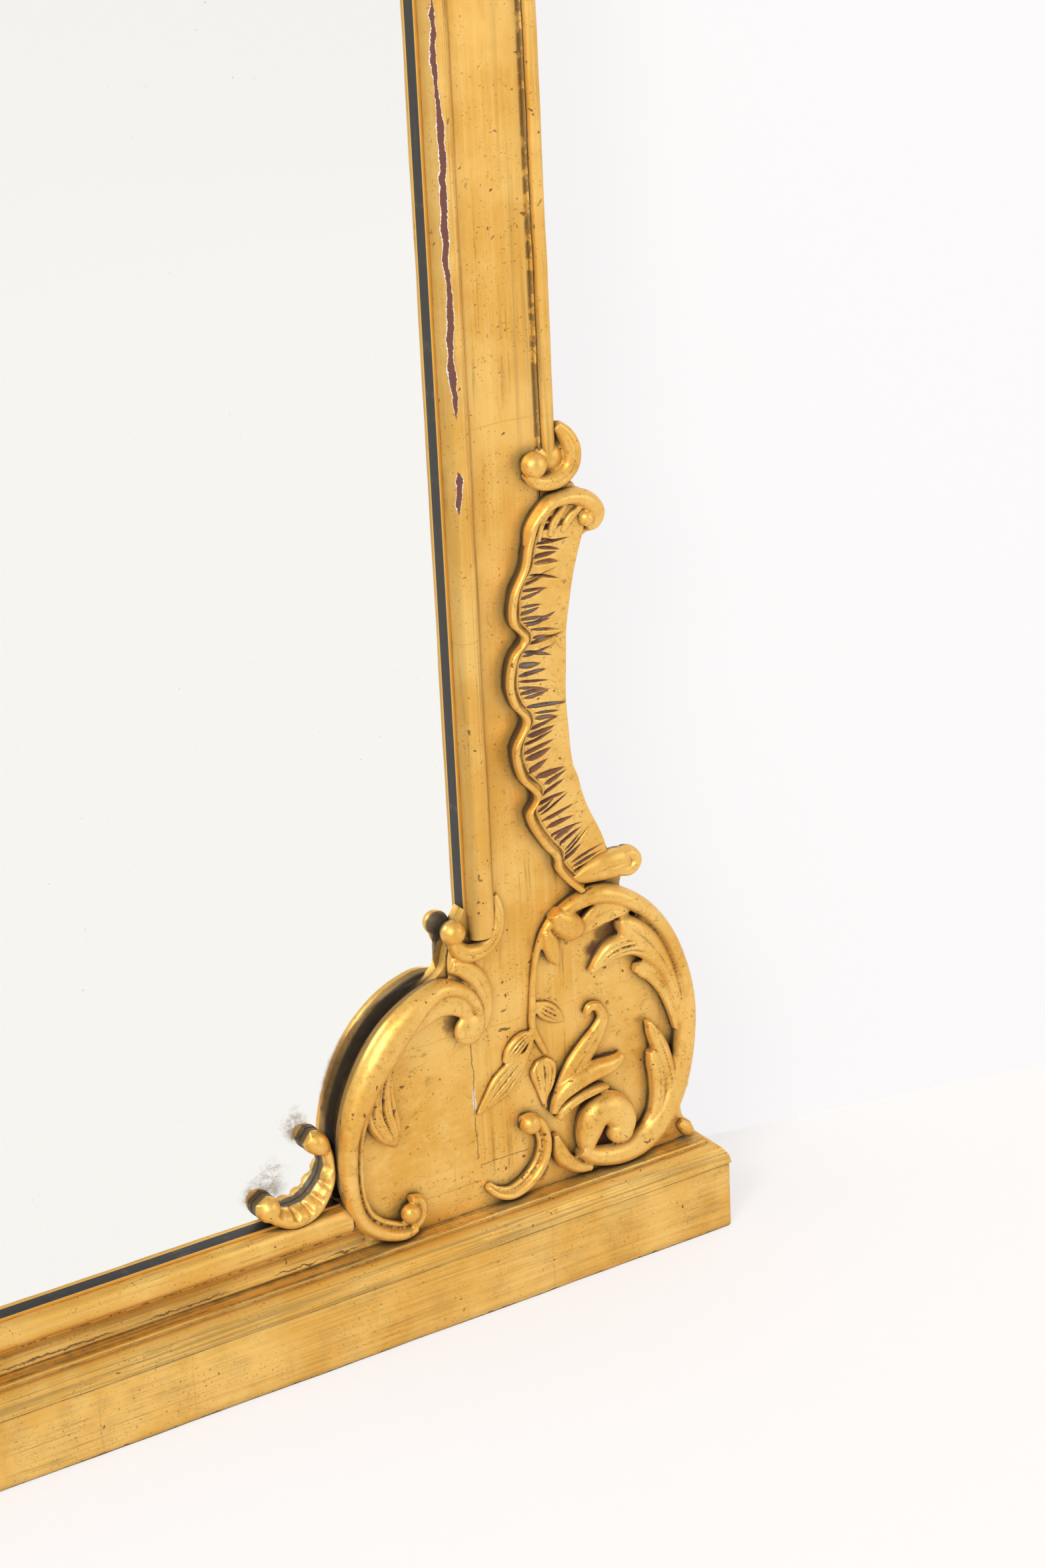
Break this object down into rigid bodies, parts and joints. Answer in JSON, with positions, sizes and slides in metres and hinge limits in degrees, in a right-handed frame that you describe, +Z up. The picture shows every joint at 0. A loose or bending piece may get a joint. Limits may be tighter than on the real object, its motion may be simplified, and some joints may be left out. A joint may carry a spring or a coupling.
{
  "type": "trumeau mirror",
  "caption": "Tall carved giltwood standing mirror: moulded base, scrolled ears and shell crest, rectangular glass, boarded back and two hanging rings.",
  "frame": {"origin": "on the floor, at the middle of the base's width and depth", "axes": "+Z up, -Y out of the glass towards the viewer, +X to the viewer's right"},
  "size_m": [1.36, 0.095, 2.0536],
  "materials": {
    "gilt_wood": "water-gilt leaf over red bole, toned and worn",
    "bare_wood": "old bare softwood, oxidised",
    "black_paint": "matt black paint",
    "mirror_glass": "old silvered plate with foxing",
    "iron": "dull oxidised iron"
  },
  "bodies": {
    "frame": {"back_batten_lower": "bare_wood", "back_batten_upper": "bare_wood", "back_board_1": "bare_wood", "back_board_2": "bare_wood", "back_board_3": "bare_wood", "back_screws": "iron", "ball_scroll_left": "gilt_wood", "ball_scroll_right": "gilt_wood", "base_back_rail": "bare_wood", "base_cove": "gilt_wood", "base_end_block_left": "gilt_wood", "base_end_block_right": "gilt_wood", "base_plinth": "gilt_wood", "bottom_rail": "gilt_wood", "bottom_torus": "gilt_wood", "corner_block_left": "gilt_wood", "corner_block_right": "gilt_wood", "crest_bead_left": "gilt_wood", "crest_bead_right": "gilt_wood", "crest_board": "gilt_wood", "crest_braces": "bare_wood", "crest_scroll_left": "gilt_wood", "crest_scroll_right": "gilt_wood", "crest_shell": "gilt_wood", "ear_board_left": "gilt_wood", "ear_board_right": "gilt_wood", "flower_spray_left": "gilt_wood", "flower_spray_right": "gilt_wood", "glazing_blocks": "bare_wood", "hanger_screws": "iron", "hanger_strap_left": "iron", "hanger_strap_right": "iron", "inner_scroll_left": "gilt_wood", "inner_scroll_right": "gilt_wood", "mirror_glass": "mirror_glass", "outer_bead_left": "gilt_wood", "outer_bead_right": "gilt_wood", "outer_hook_left": "gilt_wood", "outer_hook_right": "gilt_wood", "outer_scroll_left": "gilt_wood", "outer_scroll_right": "gilt_wood", "rocaille_wing_left": "gilt_wood", "rocaille_wing_right": "gilt_wood", "sight_slips": "black_paint", "small_scroll_left": "gilt_wood", "small_scroll_right": "gilt_wood", "stile_core_left": "gilt_wood", "stile_core_right": "gilt_wood", "stile_torus_left": "gilt_wood", "stile_torus_right": "gilt_wood", "top_corner_block_left": "gilt_wood", "top_corner_block_right": "gilt_wood", "top_rail": "gilt_wood", "top_scroll_left": "gilt_wood", "top_scroll_right": "gilt_wood", "top_torus": "gilt_wood"},
    "right_ring": {"hanger_ring_right": "iron"},
    "left_ring": {"hanger_ring_left": "iron"}
  },
  "joints": [
    {"name": "right_ring_swing", "type": "hinge", "parent": "frame", "child": "right_ring", "pos_m": [0.515, 0.0328, 1.54], "axis": [1, 0, 0], "range_deg": [0, 180]},
    {"name": "left_ring_swing", "type": "hinge", "parent": "frame", "child": "left_ring", "pos_m": [-0.515, 0.0328, 1.54], "axis": [1, 0, 0], "range_deg": [0, 180]}
  ]
}
